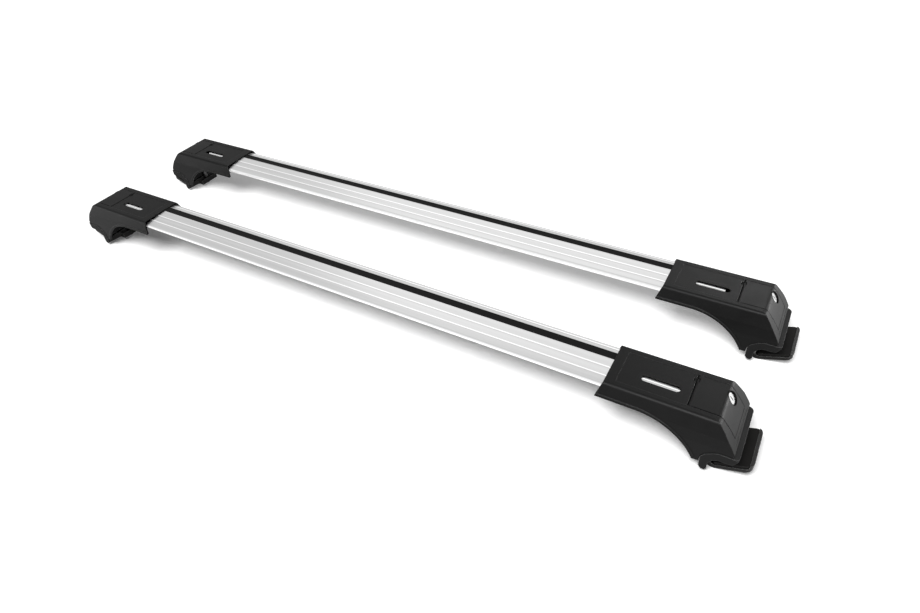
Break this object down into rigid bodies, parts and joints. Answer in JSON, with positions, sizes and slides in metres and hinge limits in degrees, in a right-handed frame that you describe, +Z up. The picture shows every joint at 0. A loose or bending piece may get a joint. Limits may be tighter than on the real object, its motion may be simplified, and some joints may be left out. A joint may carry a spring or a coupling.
{
  "type": "pair of roof crossbars",
  "caption": "Pair of aluminium roof crossbars with rubber slot strips; plastic-covered feet with locking lids slide on the bars and clamp a raised roof rail between boot and jaw.",
  "frame": {"origin": "middle of the pair, on the floor the feet stand on", "axes": "+X along the bars, +Y from the front bar to the rear bar, +Z up"},
  "size_m": [1.274, 0.3118, 0.087],
  "materials": {
    "bar": "brushed silver anodised",
    "strip": "matt black rubber",
    "cover": "satin grained black",
    "lid": "satin grained black",
    "steel": "zinc plated",
    "lock": "bright chrome",
    "bracket": "black coated",
    "boot": "matt black rubber",
    "jaw": "black coated",
    "pad": "matt black rubber"
  },
  "bodies": {
    "bars": {"front_bar": "bar", "front_strip": "strip", "rear_bar": "bar", "rear_strip": "strip"},
    "front_right_foot": {"front_right_cover": "cover", "front_right_hinge_pin": "steel", "front_right_bracket": "bracket", "front_right_boot": "boot", "front_right_clamp_washer": "steel", "front_right_bar_screws": "steel", "front_right_slide_nuts": "steel"},
    "front_right_lid": {"front_right_lid": "lid"},
    "front_right_lock": {"front_right_lock_barrel": "lock", "front_right_lock_cam": "steel"},
    "front_right_jaw": {"front_right_jaw": "jaw", "front_right_jaw_pad": "pad", "front_right_clamp_nut": "steel"},
    "front_right_bolt": {"front_right_clamp_bolt": "steel"},
    "front_left_foot": {"front_left_cover": "cover", "front_left_hinge_pin": "steel", "front_left_bracket": "bracket", "front_left_boot": "boot", "front_left_clamp_washer": "steel", "front_left_bar_screws": "steel", "front_left_slide_nuts": "steel"},
    "front_left_lid": {"front_left_lid": "lid"},
    "front_left_lock": {"front_left_lock_barrel": "lock", "front_left_lock_cam": "steel"},
    "front_left_jaw": {"front_left_jaw": "jaw", "front_left_jaw_pad": "pad", "front_left_clamp_nut": "steel"},
    "front_left_bolt": {"front_left_clamp_bolt": "steel"},
    "rear_right_foot": {"rear_right_cover": "cover", "rear_right_hinge_pin": "steel", "rear_right_bracket": "bracket", "rear_right_boot": "boot", "rear_right_clamp_washer": "steel", "rear_right_bar_screws": "steel", "rear_right_slide_nuts": "steel"},
    "rear_right_lid": {"rear_right_lid": "lid"},
    "rear_right_lock": {"rear_right_lock_barrel": "lock", "rear_right_lock_cam": "steel"},
    "rear_right_jaw": {"rear_right_jaw": "jaw", "rear_right_jaw_pad": "pad", "rear_right_clamp_nut": "steel"},
    "rear_right_bolt": {"rear_right_clamp_bolt": "steel"},
    "rear_left_foot": {"rear_left_cover": "cover", "rear_left_hinge_pin": "steel", "rear_left_bracket": "bracket", "rear_left_boot": "boot", "rear_left_clamp_washer": "steel", "rear_left_bar_screws": "steel", "rear_left_slide_nuts": "steel"},
    "rear_left_lid": {"rear_left_lid": "lid"},
    "rear_left_lock": {"rear_left_lock_barrel": "lock", "rear_left_lock_cam": "steel"},
    "rear_left_jaw": {"rear_left_jaw": "jaw", "rear_left_jaw_pad": "pad", "rear_left_clamp_nut": "steel"},
    "rear_left_bolt": {"rear_left_clamp_bolt": "steel"}
  },
  "joints": [
    {"name": "front_right_slide", "type": "slide", "parent": "bars", "child": "front_right_foot", "axis": [1, 0, 0], "range_m": [-0.004, 0.026]},
    {"name": "front_right_lid_hinge", "type": "hinge", "parent": "front_right_foot", "child": "front_right_lid", "pos_m": [0.53505, -0.1095, 0.0844], "axis": [0, -1, 0], "range_deg": [0, 75]},
    {"name": "front_right_lock_turn", "type": "hinge", "parent": "front_right_lid", "child": "front_right_lock", "pos_m": [0.57819, -0.0949, 0.07984], "axis": [0.7716, 0, 0.6361], "range_deg": [0, 90]},
    {"name": "front_right_bolt_spin", "type": "hinge", "parent": "front_right_foot", "child": "front_right_bolt", "pos_m": [0.5595, -0.1095, 0.04], "axis": [0, 0, 1], "range_deg": [0, 2595]},
    {"name": "front_right_jaw_slide", "type": "slide", "parent": "front_right_foot", "child": "front_right_jaw", "axis": [0, 0, -1], "range_m": [0, 0.009]},
    {"name": "front_left_slide", "type": "slide", "parent": "bars", "child": "front_left_foot", "axis": [-1, 0, 0], "range_m": [-0.004, 0.026]},
    {"name": "front_left_lid_hinge", "type": "hinge", "parent": "front_left_foot", "child": "front_left_lid", "pos_m": [-0.53505, -0.1095, 0.0844], "axis": [0, 1, 0], "range_deg": [0, 75]},
    {"name": "front_left_lock_turn", "type": "hinge", "parent": "front_left_lid", "child": "front_left_lock", "pos_m": [-0.57819, -0.0949, 0.07984], "axis": [0.7716, 0, -0.6361], "range_deg": [0, 90]},
    {"name": "front_left_bolt_spin", "type": "hinge", "parent": "front_left_foot", "child": "front_left_bolt", "pos_m": [-0.5595, -0.1095, 0.04], "axis": [0, 0, 1], "range_deg": [0, 2595]},
    {"name": "front_left_jaw_slide", "type": "slide", "parent": "front_left_foot", "child": "front_left_jaw", "axis": [0, 0, -1], "range_m": [0, 0.009]},
    {"name": "rear_right_slide", "type": "slide", "parent": "bars", "child": "rear_right_foot", "axis": [1, 0, 0], "range_m": [-0.017, 0.013]},
    {"name": "rear_right_lid_hinge", "type": "hinge", "parent": "rear_right_foot", "child": "rear_right_lid", "pos_m": [0.54805, 0.1095, 0.0844], "axis": [0, -1, 0], "range_deg": [0, 75]},
    {"name": "rear_right_lock_turn", "type": "hinge", "parent": "rear_right_lid", "child": "rear_right_lock", "pos_m": [0.59119, 0.1241, 0.07984], "axis": [0.7716, 0, 0.6361], "range_deg": [0, 90]},
    {"name": "rear_right_bolt_spin", "type": "hinge", "parent": "rear_right_foot", "child": "rear_right_bolt", "pos_m": [0.5725, 0.1095, 0.04], "axis": [0, 0, 1], "range_deg": [0, 2595]},
    {"name": "rear_right_jaw_slide", "type": "slide", "parent": "rear_right_foot", "child": "rear_right_jaw", "axis": [0, 0, -1], "range_m": [0, 0.009]},
    {"name": "rear_left_slide", "type": "slide", "parent": "bars", "child": "rear_left_foot", "axis": [-1, 0, 0], "range_m": [-0.017, 0.013]},
    {"name": "rear_left_lid_hinge", "type": "hinge", "parent": "rear_left_foot", "child": "rear_left_lid", "pos_m": [-0.54805, 0.1095, 0.0844], "axis": [0, 1, 0], "range_deg": [0, 75]},
    {"name": "rear_left_lock_turn", "type": "hinge", "parent": "rear_left_lid", "child": "rear_left_lock", "pos_m": [-0.59119, 0.1241, 0.07984], "axis": [0.7716, 0, -0.6361], "range_deg": [0, 90]},
    {"name": "rear_left_bolt_spin", "type": "hinge", "parent": "rear_left_foot", "child": "rear_left_bolt", "pos_m": [-0.5725, 0.1095, 0.04], "axis": [0, 0, 1], "range_deg": [0, 2595]},
    {"name": "rear_left_jaw_slide", "type": "slide", "parent": "rear_left_foot", "child": "rear_left_jaw", "axis": [0, 0, -1], "range_m": [0, 0.009]}
  ],
  "couplings": [
    {"joint": "front_right_bolt_spin", "follows": "front_right_jaw_slide", "rad_per_m": 5026.5},
    {"joint": "front_left_bolt_spin", "follows": "front_left_jaw_slide", "rad_per_m": 5026.5},
    {"joint": "rear_right_bolt_spin", "follows": "rear_right_jaw_slide", "rad_per_m": 5026.5},
    {"joint": "rear_left_bolt_spin", "follows": "rear_left_jaw_slide", "rad_per_m": 5026.5}
  ]
}
